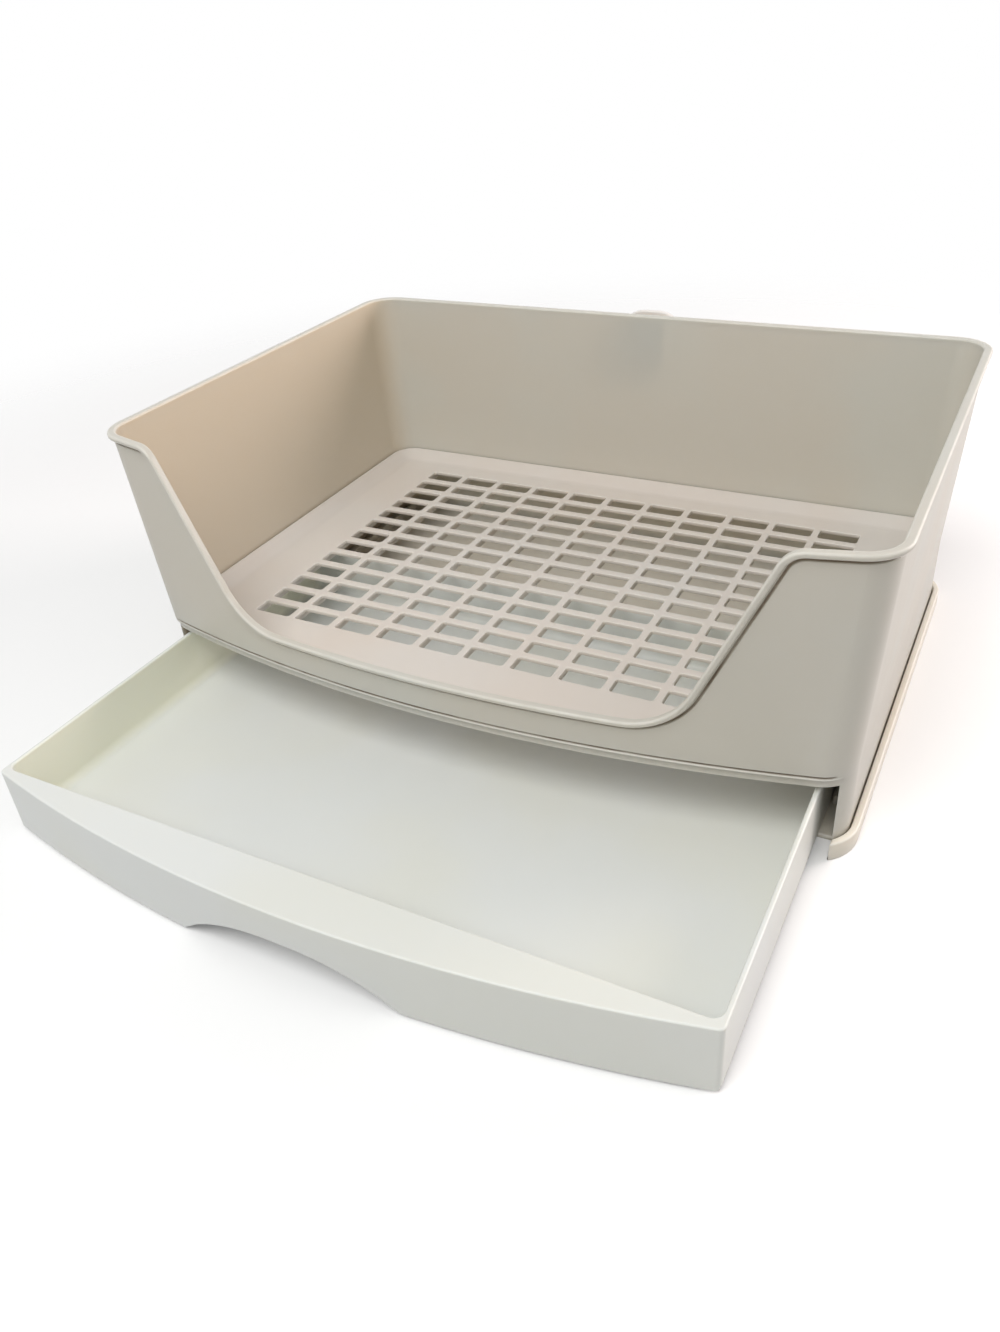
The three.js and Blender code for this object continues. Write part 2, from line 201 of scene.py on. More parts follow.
def makeWearAndEdgeHighlight():
    group, given, result = newGroup(
        "wearAndEdgeHighlight",
        [("Colour", "NodeSocketColor", middleGrey), ("Worn And Highlit Colour", "NodeSocketColor", middleGrey),
         ("Amount", "NodeSocketFloat", 0.4)],
        [("Colour", "NodeSocketColor")],
    )
    patch = addPatches(group, addPlace(group), patterns["paleEdgePatches"], leastPaleShare)
    wornAndHighlit = addMath(group, "MULTIPLY", addAttribute(group, "edgeWearAndHighlight"), patch)
    mask = addMath(group, "MULTIPLY", wornAndHighlit, given.outputs["Amount"])
    paler = addMix(group, mask, given.outputs["Colour"], given.outputs["Worn And Highlit Colour"])
    group.links.new(paler, result.inputs["Colour"])
    return group


# Painted shade in a groove: a darker colour along the groove's bottom, broken up in patches
unshadedShare = 0.6
hollowFrom = 0.05
hollowTo = 0.6


def makePaintedGrooveShade():
    group, given, result = newGroup(
        "paintedGrooveShade",
        [("Colour", "NodeSocketColor", middleGrey), ("Groove Shade Colour", "NodeSocketColor", middleGrey),
         ("Amount", "NodeSocketFloat", 0.5)],
        [("Colour", "NodeSocketColor")],
    )
    deep = addRange(group, addAttribute(group, "grooveDepth"), hollowFrom, hollowTo)
    patch = addPatches(group, addPlace(group), patterns["grooveShadePatches"], unshadedShare)
    patchyShade = addMath(group, "MULTIPLY", deep, patch)
    mask = addMath(group, "MULTIPLY", patchyShade, given.outputs["Amount"])
    grooveShaded = addMix(group, mask, given.outputs["Colour"], given.outputs["Groove Shade Colour"])
    group.links.new(grooveShaded, result.inputs["Colour"])
    return group


# Skin of a satin moulding: fine grain, slight waviness, uneven sheen and faint scuffs from front to back
streakStretch = (1.0, 0.03, 1.0)


def makeMouldedSkin():
    group, given, result = newGroup(
        "mouldedSkin",
        [("Roughness", "NodeSocketFloat", 0.45), ("Unevenness", "NodeSocketFloat", 0.08),
         ("Grain", "NodeSocketFloat", 0.2), ("Waviness", "NodeSocketFloat", 0.2),
         ("Scuffs", "NodeSocketFloat", 0.0)],
        [("Roughness", "NodeSocketFloat"), ("Normal", "NodeSocketVector")],
    )
    place = addPlace(group)
    stretched = addNode(group, "ShaderNodeMapping")
    feed(group, stretched, {"Vector": place, "Scale": streakStretch})
    streak = addPatches(group, stretched.outputs["Vector"], patterns["streaks"])
    patch = addPatches(group, place, patterns["scuffedPatches"])
    scuffed = addMath(group, "MULTIPLY", streak, patch)
    scuff = addMath(group, "MULTIPLY", scuffed, given.outputs["Scuffs"])
    sheen = addMath(group, "SUBTRACT", addNoise(group, place, patterns["sheen"]), 0.5)
    rough = addMath(group, "MULTIPLY_ADD", sheen, given.outputs["Unevenness"], given.outputs["Roughness"])
    group.links.new(addMath(group, "ADD", rough, scuff), result.inputs["Roughness"])
    grain = addBump(group, place, patterns["grain"], given.outputs["Grain"])
    waves = addBump(group, place, patterns["waves"], given.outputs["Waviness"], grain)
    group.links.new(waves, result.inputs["Normal"])
    return group


colourDrift = makeColourDrift()
paintedSideLight = makePaintedSideLight()
wearAndEdgeHighlight = makeWearAndEdgeHighlight()
paintedGrooveShade = makePaintedGrooveShade()
mouldedSkin = makeMouldedSkin()

# Plastics
print("stage: plastics")


def linearColour(red, green, blue):
    def channel(value):
        share = value / 255
        return share / 12.92 if share <= 0.04045 else ((share + 0.055) / 1.055) ** 2.4
    return (channel(red), channel(green), channel(blue), 1)


def makePlastic(name, settings):
    material = bpy.data.materials.new(name)
    material.use_nodes = True
    tree = material.node_tree
    shader = tree.nodes["Principled BSDF"]
    drift = addNode(tree, "ShaderNodeGroup", node_tree=colourDrift)
    feed(tree, drift, {
        "Colour": linearColour(*settings["colour"]),
        "Cloud Colour": linearColour(*settings["cloudColour"]),
    })
    colour = drift.outputs["Colour"]
    # Painted warm light on the left side's inward faces
    if "sideLitColour" in settings:
        side = addNode(tree, "ShaderNodeGroup", node_tree=paintedSideLight)
        feed(tree, side, {
            "Colour": colour,
            "Side Lit Colour": linearColour(*settings["sideLitColour"]),
            "Side From": settings["sideFrom"],
            "Side To": settings["sideTo"],
        })
        colour = side.outputs["Colour"]
    # Paler rounded edges: partly wear, partly painted highlight
    edges = addNode(tree, "ShaderNodeGroup", node_tree=wearAndEdgeHighlight)
    feed(tree, edges, {
        "Colour": colour,
        "Worn And Highlit Colour": linearColour(*settings["wornAndHighlitColour"]),
        "Amount": settings["wearAndHighlight"],
    })
    colour = edges.outputs["Colour"]
    # Painted shade along the bottom of grooves
    if "grooveShadeColour" in settings:
        hollows = addNode(tree, "ShaderNodeGroup", node_tree=paintedGrooveShade)
        feed(tree, hollows, {
            "Colour": colour,
            "Groove Shade Colour": linearColour(*settings["grooveShadeColour"]),
            "Amount": settings["grooveShadeAmount"],
        })
        colour = hollows.outputs["Colour"]
    skin = addNode(tree, "ShaderNodeGroup", node_tree=mouldedSkin)
    feed(tree, skin, {
        "Roughness": settings["roughness"],
        "Unevenness": settings["unevenness"],
        "Grain": settings["grain"],
        "Waviness": settings["waviness"],
        "Scuffs": settings["scuffs"],
    })
    tree.links.new(colour, shader.inputs["Base Color"])
    tree.links.new(skin.outputs["Roughness"], shader.inputs["Roughness"])
    tree.links.new(skin.outputs["Normal"], shader.inputs["Normal"])
    feed(tree, shader, {
        "IOR": settings["ior"],
        "Subsurface Weight": settings["milkiness"],
        "Subsurface Radius": settings["glow"],
        "Subsurface Scale": settings["depth"],
    })
    return material


# In every plastic below, the worn colour makes rounded edges paler: partly wear, partly painted highlight.
panPlastic = makePlastic("panPlastic", {
    # Pan: the side colour is painted warm light on the inner left wall, and the groove colour is painted
    # shade.
    "colour": (196, 195, 187), "cloudColour": (197, 193, 183), "sideLitColour": (207, 193, 172),
    "sideFrom": -0.170, "sideTo": -0.200, "wornAndHighlitColour": (220, 216, 207), "wearAndHighlight": 0.5,
    "grooveShadeColour": (112, 98, 80), "grooveShadeAmount": 0.85,
    "roughness": 0.42, "unevenness": 0.10, "grain": 0.25, "waviness": 0.10, "scuffs": 0.0, "ior": 1.49,
    "milkiness": 0.5, "glow": (1.0, 0.95, 0.88), "depth": 0.006,
})
gratePlastic = makePlastic("gratePlastic", {
    "colour": (212, 206, 199), "cloudColour": (212, 203, 194), "wornAndHighlitColour": (228, 221, 211), "wearAndHighlight": 0.5,
    "roughness": 0.45, "unevenness": 0.10, "grain": 0.25, "waviness": 0.08, "scuffs": 0.05, "ior": 1.49,
    "milkiness": 0.5, "glow": (1.0, 0.95, 0.88), "depth": 0.006,
})
drawerPlastic = makePlastic("drawerPlastic", {
    # Drawer: the side colour is painted light on the inner left wall.
    "colour": (223, 225, 222), "cloudColour": (223, 224, 217), "sideLitColour": (244, 244, 226),
    "sideFrom": -0.150, "sideTo": -0.184, "wornAndHighlitColour": (234, 235, 232), "wearAndHighlight": 0.4,
    "roughness": 0.40, "unevenness": 0.10, "grain": 0.20, "waviness": 0.10, "scuffs": 0.10, "ior": 1.49,
    "milkiness": 0.5, "glow": (1.0, 0.95, 0.88), "depth": 0.0015,
})
basePlastic = makePlastic("basePlastic", {
    "colour": (230, 224, 211), "cloudColour": (228, 220, 205), "wornAndHighlitColour": (238, 233, 224), "wearAndHighlight": 0.4,
    "roughness": 0.42, "unevenness": 0.10, "grain": 0.25, "waviness": 0.10, "scuffs": 0.12, "ior": 1.49,
    "milkiness": 0.5, "glow": (1.0, 0.95, 0.88), "depth": 0.006,
})
clampPlastic = makePlastic("clampPlastic", {
    "colour": (226, 221, 217), "cloudColour": (224, 218, 212), "wornAndHighlitColour": (236, 232, 228), "wearAndHighlight": 0.4,
    "roughness": 0.40, "unevenness": 0.10, "grain": 0.25, "waviness": 0.05, "scuffs": 0.0, "ior": 1.49,
    "milkiness": 0.5, "glow": (1.0, 0.95, 0.88), "depth": 0.006,
})

# Ways to shape a moulding, with lengths in millimetres
print("stage: mouldings")
foldAngle = math.radians(30)  # from here on an edge counts as a fold to be rounded
sharpAngle = math.radians(50)  # from here on a fold is shaded sharp
flatAngle = math.radians(0.4)
nearby = 0.1
mergeGap = 0.01
cutSlack = 0.0001
quarterTurn = math.pi / 2


def cutAcross(shape, x=None, y=None):
    at = (0, y * millimetre, 0) if x is None else (x * millimetre, 0, 0)
    facing = (0, 1, 0) if x is None else (1, 0, 0)
    bmesh.ops.bisect_plane(
        shape, geom=shape.verts[:] + shape.edges[:] + shape.faces[:], dist=cutSlack * millimetre,
        plane_co=at, plane_no=facing,
    )


# A node's mesh in whole flat faces, parted along the middle so that no face is a ring
def mergedCopy(node, gap):
    shape = bmesh.new()
    shape.from_mesh(nodes[node].data)
    bmesh.ops.remove_doubles(shape, verts=shape.verts, dist=gap * millimetre)
    cutAcross(shape, x=0)
    beside = [edge for edge in shape.edges if any(abs(end.co.x) > nearby * millimetre for end in edge.verts)]
    bmesh.ops.dissolve_limit(
        shape, angle_limit=flatAngle, use_dissolve_boundaries=False, verts=shape.verts, edges=beside,
    )
    shape.normal_update()
    return shape


def middle(edge):
    return (edge.verts[0].co + edge.verts[1].co) / 2 / millimetre


def everywhere(place):
    return True


# Edges that fold outward or inward, where their middle passes the test
def foldEdges(shape, outward, test=everywhere):
    folds = []
    for edge in shape.edges:
        if len(edge.link_faces) == 2 and edge.is_convex == outward and edge.calc_face_angle(0) > foldAngle:
            if test(middle(edge)):
                folds.append(edge)
    return folds


def roundEdges(shape, edges, radius, segments, marksPaleEdges=True):
    # Where it marks them, rounded edges get a paler colour: partly wear, partly painted highlight
    wearAndHighlight = shape.verts.layers.float.get("edgeWearAndHighlight") or shape.verts.layers.float.new("edgeWearAndHighlight")
    made = bmesh.ops.bevel(
        shape, geom=edges, offset=radius * millimetre, offset_type="OFFSET", segments=segments, profile=0.5,
        affect="EDGES", clamp_overlap=False, material=-1, loop_slide=True,
    )
    rounded = set(made["faces"])
    for corner in made["verts"]:
        if marksPaleEdges and all(face in rounded for face in corner.link_faces):
            corner[wearAndHighlight] = 1.0
    shape.normal_update()


# A groove that follows the border of some faces, where its bottom passes the test; the bottom is marked for
# painted shade in the groove
def pressGroove(shape, faces, setback, halfWidth, depth, test):
    hollow = shape.verts.layers.float.new("grooveDepth")
    rings = []
    for step in (setback, halfWidth, halfWidth):
        made = bmesh.ops.inset_region(
            shape, faces=faces, thickness=step * millimetre, use_boundary=True, use_even_offset=True,
        )
        rings.append(made["faces"])
    shape.normal_update()
    outer, inner = ({corner for face in ring for corner in face.verts} for ring in rings[1:])
    for corner in outer & inner:
        if test(corner.co / millimetre):
            corner.co -= corner.normal * depth * millimetre
            corner[hollow] = 1.0
    shape.normal_update()


# Where the surface looks to the right, for the painted warm light on the left side
def markFacing(shape):
    facing = shape.verts.layers.float.new("facesRight")
    shape.normal_update()
    for corner in shape.verts:
        corner[facing] = max(0.0, corner.normal.x)


def finishPiece(shape, name, node, body, material):
    markFacing(shape)
    for edge in shape.edges:
        edge.smooth = not (len(edge.link_faces) == 2 and edge.calc_face_angle(0) > sharpAngle)
    for face in shape.faces:
        face.smooth = True
    mesh = bpy.data.meshes.new(name)
    shape.to_mesh(mesh)
    shape.free()
    mesh.materials.clear()
    mesh.materials.append(material)
    piece = bpy.data.objects.new(name, mesh)
    scene.collection.objects.link(piece)
    weighted = piece.modifiers.new("faceNormals", "WEIGHTED_NORMAL")
    weighted.mode = "FACE_AREA"
    weighted.keep_sharp = True
    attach(piece, body)
    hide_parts(node)
    print(name, len(mesh.polygons), "faces")


def addInto(shape, other):
    mesh = bpy.data.meshes.new("join")
    other.to_mesh(mesh)
    other.free()
    shape.from_mesh(mesh)
    bpy.data.meshes.remove(mesh)


def newCorners(made):
    return [part for part in made["geom"] if isinstance(part, bmesh.types.BMVert)]


# Where the arcs of a round-cornered plan with a bowed front have their centres
def planCentres(plan):
    cornerX = plan["halfWidth"] - plan["cornerRadius"]
    reach = plan["frontRadius"] - plan["cornerRadius"]
    lean = math.asin(cornerX / reach)
    frontCentreY = plan["frontY"] + plan["frontRadius"]
    frontCornerY = frontCentreY - reach * math.cos(lean)
    return cornerX, frontCornerY, plan["backY"] - plan["cornerRadius"], frontCentreY, lean


# A chain of points, each outward (x), up (z) and rounded back by a length, which runs round the plan
def sweepRound(shape, plan, points):
    cornerX, frontCornerY, backCornerY, frontCentreY, lean = planCentres(plan)
    corners = [shape.verts.new(Vector((x, frontCornerY, z)) * millimetre) for x, z, back in points]
    for near, far in zip(corners, corners[1:]):
        shape.edges.new((near, far))
    for corner, (x, z, back) in zip(corners, points):
        if back:
            bmesh.ops.bevel(
                shape, geom=[corner], offset=back * millimetre, offset_type="OFFSET", segments=3, profile=0.5,
                affect="VERTICES", material=-1,
            )
    straight, width = backCornerY - frontCornerY, 2 * cornerX
    turns = plan["cornerSteps"]
    moves = (
        ((0, 0), 0, (0, straight), 1),
        ((cornerX, backCornerY), quarterTurn, (0, 0), turns),
        ((0, 0), 0, (-width, 0), 1),
        ((-cornerX, backCornerY), quarterTurn, (0, 0), turns),
        ((0, 0), 0, (0, -straight), 1),
        ((-cornerX, frontCornerY), quarterTurn - lean, (0, 0), turns),
        ((0, frontCentreY), 2 * lean, (0, 0), plan["frontSteps"]),
        ((cornerX, frontCornerY), quarterTurn - lean, (0, 0), turns),
    )
    geometry = shape.verts[:] + shape.edges[:]
    for (x, y), angle, (alongX, alongY), steps in moves:
        swept = bmesh.ops.spin(
            shape, geom=geometry, cent=(x * millimetre, y * millimetre, 0), axis=(0, 0, 1), angle=angle,
            dvec=(alongX * millimetre, alongY * millimetre, 0), steps=steps, use_duplicate=False,
        )
        geometry = swept["geom_last"]
    bmesh.ops.remove_doubles(shape, verts=shape.verts, dist=mergeGap * millimetre)


# Floor grate: a slotted plate with ribs below, an edge that slopes up to the wall, and a skirt
grateSettings = {
    "plan": {
        "halfWidth": 197, "backY": 145, "frontY": -143.2, "frontRadius": 800, "cornerRadius": 18,
        "cornerSteps": 10, "frontSteps": 36,
    },
    "topZ": 45.3,
    "edgeTopZ": 50.5,
    "undersideZ": 42.8,
    "skirtZ": 39.3,
    "wallGap": 2.9,
    "edgeThickness": 1.6,
    "slopeWidth": 10.0,
    "flatWidth": 3.3,  # level strip between the slope and the slotted field
    "skirtSetback": 14.9,
    "skirtThickness": 1.6,
    "columns": 11,
    "rows": 13,
    "slotLength": 23.8,
    "slotWidth": 11.6,
    "columnBar": 4.2,
    "rowBar": 5.0,
    "slotRearY": 116.8,
    "ribThickness": 2.0,
    "ribEdge": 0.4,
    "slotCorner": 1.8,
    "slotEdge": 0.5,
    "footFillet": 2.2,
    "edgeRound": 0.7,
}


def slotField(settings):
    pitchX = settings["slotLength"] + settings["columnBar"]
    pitchY = settings["slotWidth"] + settings["rowBar"]
    return {
        "pitchX": pitchX,
        "pitchY": pitchY,
        "halfWidth": (settings["columns"] * pitchX + settings["columnBar"]) / 2,
        "rearY": settings["slotRearY"] + settings["rowBar"],
        "frontY": settings["slotRearY"] - settings["rows"] * pitchY,
    }


def isSlot(face, settings, field):
    centre = face.calc_center_median() / millimetre
    column = centre.x / field["pitchX"] + settings["columns"] / 2
    row = (settings["slotRearY"] - centre.y) / field["pitchY"]
    across = abs(column % 1 - 0.5) * field["pitchX"] < settings["slotLength"] / 2
    along = row % 1 * field["pitchY"] < settings["slotWidth"]
    return across and along and 0 < column < settings["columns"] and 0 < row < settings["rows"]


def barCentres(settings, field):
    return [(bar - settings["columns"] / 2) * field["pitchX"] for bar in range(settings["columns"] + 1)]


def addRibs(sheet, settings, field, depth):
    half = settings["ribThickness"] / 2
    for centreX in barCentres(settings, field):
        cutAcross(sheet, x=centreX - half)
        cutAcross(sheet, x=centreX + half)

    def isRib(face):
        x = face.calc_center_median().x / millimetre
        return min(abs(x - centreX) for centreX in barCentres(settings, field)) < half

    feet = [face for face in sheet.faces if isRib(face)]
    around = list({edge for face in feet for edge in face.edges})
    lowered = bmesh.ops.extrude_face_region(sheet, geom=feet + around)
    bmesh.ops.translate(sheet, verts=newCorners(lowered), vec=(0, 0, -depth * millimetre))
    lowZ = min(corner.co.z for corner in sheet.verts) / millimetre
    bottoms = [edge for edge in sheet.edges if abs(middle(edge).z - lowZ) < nearby]
    seams = [edge for edge in bottoms if len(edge.link_faces) == 2 and edge.calc_face_angle(0) < flatAngle]
    bmesh.ops.dissolve_edges(sheet, edges=seams, use_verts=True)


def makeSheet(settings, field, z):
    sheet = bmesh.new()
    size = Vector((2 * field["halfWidth"], field["rearY"] - field["frontY"], 0))
    place = Vector((0, (field["rearY"] + field["frontY"]) / 2, z))
    bmesh.ops.create_grid(sheet, x_segments=1, y_segments=1, size=0.5)
    bmesh.ops.scale(sheet, verts=sheet.verts, vec=size * millimetre)
    bmesh.ops.translate(sheet, verts=sheet.verts, vec=place * millimetre)
    for column in range(settings["columns"]):
        centreX = (column - (settings["columns"] - 1) / 2) * field["pitchX"]
        cutAcross(sheet, x=centreX - settings["slotLength"] / 2)
        cutAcross(sheet, x=centreX + settings["slotLength"] / 2)
    for row in range(settings["rows"]):
        rearEdgeY = settings["slotRearY"] - row * field["pitchY"]
        cutAcross(sheet, y=rearEdgeY)
        cutAcross(sheet, y=rearEdgeY - settings["slotWidth"])
    slots = [face for face in sheet.faces if isSlot(face, settings, field)]
    bmesh.ops.delete(sheet, geom=slots, context="FACES_ONLY")
    return sheet


def makeGrate(settings):
    shape = bmesh.new()
    plan, field = settings["plan"], slotField(settings)
    topZ, undersideZ, skirtZ = settings["topZ"], settings["undersideZ"], settings["skirtZ"]
    outerX = plan["halfWidth"] - settings["wallGap"]
    slopeX = outerX - settings["edgeThickness"]
    footX = slopeX - settings["slopeWidth"]
    skirtX = plan["halfWidth"] - settings["skirtSetback"]
    skirtInnerX = skirtX - settings["skirtThickness"]
    soft = settings["edgeRound"]
    sweepRound(shape, plan, (
        (footX - settings["flatWidth"], topZ, 0),
        (footX, topZ, settings["footFillet"]),
        (slopeX, settings["edgeTopZ"], soft),
        (outerX, settings["edgeTopZ"], soft),
        (outerX, undersideZ, soft),
        (skirtX, undersideZ, 0),
        (skirtX, skirtZ, soft),
        (skirtInnerX, skirtZ, soft),
        (skirtInnerX, undersideZ, 0),
    ))

    def level(z):
        return lambda place: abs(place.z - z) < nearby

    def inField(place):
        inRows = field["frontY"] + nearby < place.y < field["rearY"] - nearby
        return inRows and abs(place.x) < field["halfWidth"] - nearby

    def openEdges(z):
        return [edge for edge in shape.edges if edge.is_boundary and level(z)(middle(edge))]

    for z in (topZ, undersideZ):
        sheet = makeSheet(settings, field, z)
        if z == undersideZ:
            addRibs(sheet, settings, field, undersideZ - skirtZ)
        addInto(shape, sheet)
        rims = [edge for edge in openEdges(z) if not inField(middle(edge))]
        bmesh.ops.triangle_fill(shape, use_beauty=True, edges=rims)
    walls = bmesh.ops.extrude_edge_only(shape, edges=openEdges(topZ))
    bmesh.ops.translate(shape, verts=newCorners(walls), vec=(0, 0, (undersideZ - topZ) * millimetre))
    bmesh.ops.remove_doubles(shape, verts=shape.verts, dist=mergeGap * millimetre)
    bmesh.ops.recalc_face_normals(shape, faces=shape.faces)
    halfway = level((topZ + undersideZ) / 2)
    posts = [edge for edge in shape.edges if halfway(middle(edge)) and inField(middle(edge))]
    roundEdges(shape, posts, settings["slotCorner"], segments=3)
    rounds = (
        (topZ, settings["slotEdge"], 2),
        (undersideZ, settings["slotEdge"], 1),
        (skirtZ, settings["ribEdge"], 1),
    )
    for z, radius, segments in rounds:
        folds = foldEdges(shape, True, lambda at: level(z)(at) and inField(at))
        roundEdges(shape, folds, radius, segments)
    return shape


finishPiece(makeGrate(grateSettings), "grateMoulding", "floor_grate", "grate", gratePlastic)

# Pan: a round bead on the rim and round the entry, with grooves under it and above the front band
panSettings = {
    "gap": 0.05,
    "beadRound": 1.25,
    "edgeRound": 0.5,
    "beadFromZ": 60.0,
    "bandZ": 45.5,
    "stepZ": 48.0,
    "bandCornerY": -120.0,  # the lower groove stays in front of this
    "holderY": 145.8,
    "holderTopZ": 157.0,
    "grooveEndX": 22.0,  # the upper groove stops this far from the clamp's middle
    "grooveSetback": 0.5,
    "grooveHalfWidth": 0.9,
    "grooveDepth": 1.2,
}


def makePan(settings):
    shape = mergedCopy("litter_pan", settings["gap"])

    def onHolder(place):
        return place.y > settings["holderY"] and place.z < settings["holderTopZ"]

    def onBead(place):
        return place.z > settings["beadFromZ"] and not onHolder(place)

    def onFoot(place):
        crisp = min(abs(place.z - settings["bandZ"]), abs(place.z - settings["stepZ"])) < nearby
        return not onBead(place) and not onHolder(place) and not crisp

    def isOuterWall(face):
        centre = face.calc_center_median()
        heights = [corner.co.z / millimetre for corner in face.verts]
        fromBand = abs(min(heights) - settings["bandZ"]) < nearby and max(heights) > settings["beadFromZ"]
        return fromBand and face.normal.x * centre.x + face.normal.y * centre.y > 0

    def isGrooved(place):
        if place.z > (settings["bandZ"] + settings["beadFromZ"]) / 2:
            return place.y < 0 or abs(place.x) > settings["grooveEndX"] - nearby
        return place.y < settings["bandCornerY"]

    roundEdges(shape, foldEdges(shape, True, onBead), settings["beadRound"], segments=4)
    roundEdges(shape, foldEdges(shape, True, onFoot), settings["edgeRound"], segments=2)
    cutAcross(shape, x=-settings["grooveEndX"])
    cutAcross(shape, x=settings["grooveEndX"])
    walls = [face for face in shape.faces if isOuterWall(face)]
    pressGroove(shape, walls, settings["grooveSetback"], settings["grooveHalfWidth"], settings["grooveDepth"],
                isGrooved)
    return shape


finishPiece(makePan(panSettings), "panMoulding", "litter_pan", "pan", panPlastic)

# Drawer: soft inside corners, a filleted floor and round edges
drawerSettings = {
    "gap": 0.15,
    "cornerRound": 5.0,
    "floorRound": 4.7,
    "edgeRound": 0.95,
    "footRound": 0.3,
    "floorZ": 5.0,
    "footZ": 3.2,
    "trayFrontY": -255.5,
    "wallHeight": 20.0,  # an edge that climbs more than this is an upright corner
}


def makeDrawer(settings):
    shape = mergedCopy("drawer", settings["gap"])

    def inTray(place):
        return place.y > settings["trayFrontY"]

    def upright(edge):
        return abs(edge.verts[0].co.z - edge.verts[1].co.z) > settings["wallHeight"] * millimetre

    corners = [edge for edge in foldEdges(shape, False, inTray) if upright(edge)]
    roundEdges(shape, corners, settings["cornerRound"], segments=6, marksPaleEdges=False)
    floor = foldEdges(shape, False, lambda at: inTray(at) and abs(at.z - settings["floorZ"]) < nearby)
    roundEdges(shape, floor, settings["floorRound"], segments=5, marksPaleEdges=False)
    above = foldEdges(shape, True, lambda at: at.z > settings["footZ"])
    roundEdges(shape, above, settings["edgeRound"], segments=3)
    below = foldEdges(shape, True, lambda at: at.z < settings["footZ"])
    roundEdges(shape, below, settings["footRound"], segments=2)
    return shape


finishPiece(makeDrawer(drawerSettings), "drawerMoulding", "drawer", "drawer", drawerPlastic)

# Base tray: a round rim, and slimmer edges on the guides
baseSettings = {
    "gap": 0.15,
    "edgeRound": 1.0,
    "slimRound": 0.5,
    "guideX": 188.0,
    "guideFrontY": -90.0,
    "footZ": 1.0,
}


def makeBase(settings):
    shape = mergedCopy("base_tray", settings["gap"])

    def isSlim(place):
        onGuide = abs(place.x) < settings["guideX"] and place.y > settings["guideFrontY"]
        return onGuide or place.z < settings["footZ"]

    full = foldEdges(shape, True, lambda at: not isSlim(at))
    roundEdges(shape, full, settings["edgeRound"], segments=3)
    roundEdges(shape, foldEdges(shape, True, isSlim), settings["slimRound"], segments=2)
    return shape


finishPiece(makeBase(baseSettings), "baseMoulding", "base_tray", "base", basePlastic)

# Rear clamp: a square-headed bolt with a real thread, a clamping plate and a wing nut
clampSettings = {"gap": 0.25, "plateRound": 1.0, "nutRound": 0.6}
boltSettings = {
    "centreZ": 140.5,
    "headY": 147.0,
    "headSize": 14.0,
    "headThickness": 2.4,
    "headRound": 0.6,
    "tipY": 176.2,
    "crestRadius": 4.0,
    "threadDepth": 0.65,
    "threadPitch": 3.0,
    "crestWidth": 0.7,
    "flankWidth": 0.75,
    "stepsEachTurn": 24,
}


def makeThread(settings):
    thread = bmesh.new()
    pitch, crest = settings["threadPitch"], settings["crestRadius"]
    root = crest - settings["threadDepth"]
    startY = settings["headY"]
    flank, top = settings["flankWidth"], settings["crestWidth"]
    steps = ((root, 0), (crest, flank), (crest, flank + top), (root, 2 * flank + top), (root, pitch))
    places = [Vector((x, startY + along, settings["centreZ"])) for x, along in steps]
    corners = [thread.verts.new(place * millimetre) for place in places]
    for near, far in zip(corners, corners[1:]):
        thread.edges.new((near, far))
    turns = math.ceil((settings["tipY"] - startY) / pitch)
    bmesh.ops.spin(
        thread, geom=thread.verts[:] + thread.edges[:], cent=(0, 0, settings["centreZ"] * millimetre),
        axis=(0, -1, 0), angle=4 * quarterTurn * turns,
        dvec=(0, pitch / settings["stepsEachTurn"] * millimetre, 0),
        steps=turns * settings["stepsEachTurn"], use_merge=False, use_duplicate=False,
    )
    bmesh.ops.remove_doubles(thread, verts=thread.verts, dist=mergeGap * millimetre)
    return thread


def trim(shape, y, keepsFarther):
    bmesh.ops.bisect_plane(
        shape, geom=shape.verts[:] + shape.edges[:] + shape.faces[:], dist=cutSlack * millimetre,
        plane_co=(0, y * millimetre, 0), plane_no=(0, 1, 0),
        clear_inner=keepsFarther, clear_outer=not keepsFarther,
    )


def makeBolt(settings):
    shape = bmesh.new()
    size, thickness = settings["headSize"], settings["headThickness"]
    faceY = settings["headY"] + thickness
    bmesh.ops.create_cube(shape, size=1)
    bmesh.ops.scale(shape, verts=shape.verts, vec=Vector((size, thickness, size)) * millimetre)
    headPlace = Vector((0, faceY - thickness / 2, settings["centreZ"]))
    bmesh.ops.translate(shape, verts=shape.verts, vec=headPlace * millimetre)
    roundEdges(shape, shape.edges[:], settings["headRound"], segments=3)
    face = max(shape.faces, key=lambda side: (side.calc_center_median().y, side.calc_area()))
    bmesh.ops.delete(shape, geom=[face], context="FACES_ONLY")
    thread = makeThread(settings)
    trim(thread, faceY, True)
    trim(thread, settings["tipY"], False)
    tip = [edge for edge in thread.edges if edge.is_boundary and middle(edge).y > settings["tipY"] - nearby]
    bmesh.ops.holes_fill(thread, edges=tip, sides=0)
    addInto(shape, thread)
    bmesh.ops.triangle_fill(shape, use_beauty=True, edges=[edge for edge in shape.edges if edge.is_boundary])
    bmesh.ops.recalc_face_normals(shape, faces=shape.faces)
    return shape


def makeClampPiece(node, gap, radius):
    shape = mergedCopy(node, gap)
    roundEdges(shape, foldEdges(shape, True), radius, segments=3)
    return shape


finishPiece(makeBolt(boltSettings), "boltMoulding", "clamp_bolt", "pan", clampPlastic)
finishPiece(makeClampPiece("clamp_plate", clampSettings["gap"], clampSettings["plateRound"]),
            "plateMoulding", "clamp_plate", "clamp", clampPlastic)
finishPiece(makeClampPiece("clamp_wing_nut", clampSettings["gap"], clampSettings["nutRound"]),
            "nutMoulding", "clamp_wing_nut", "nut", clampPlastic)

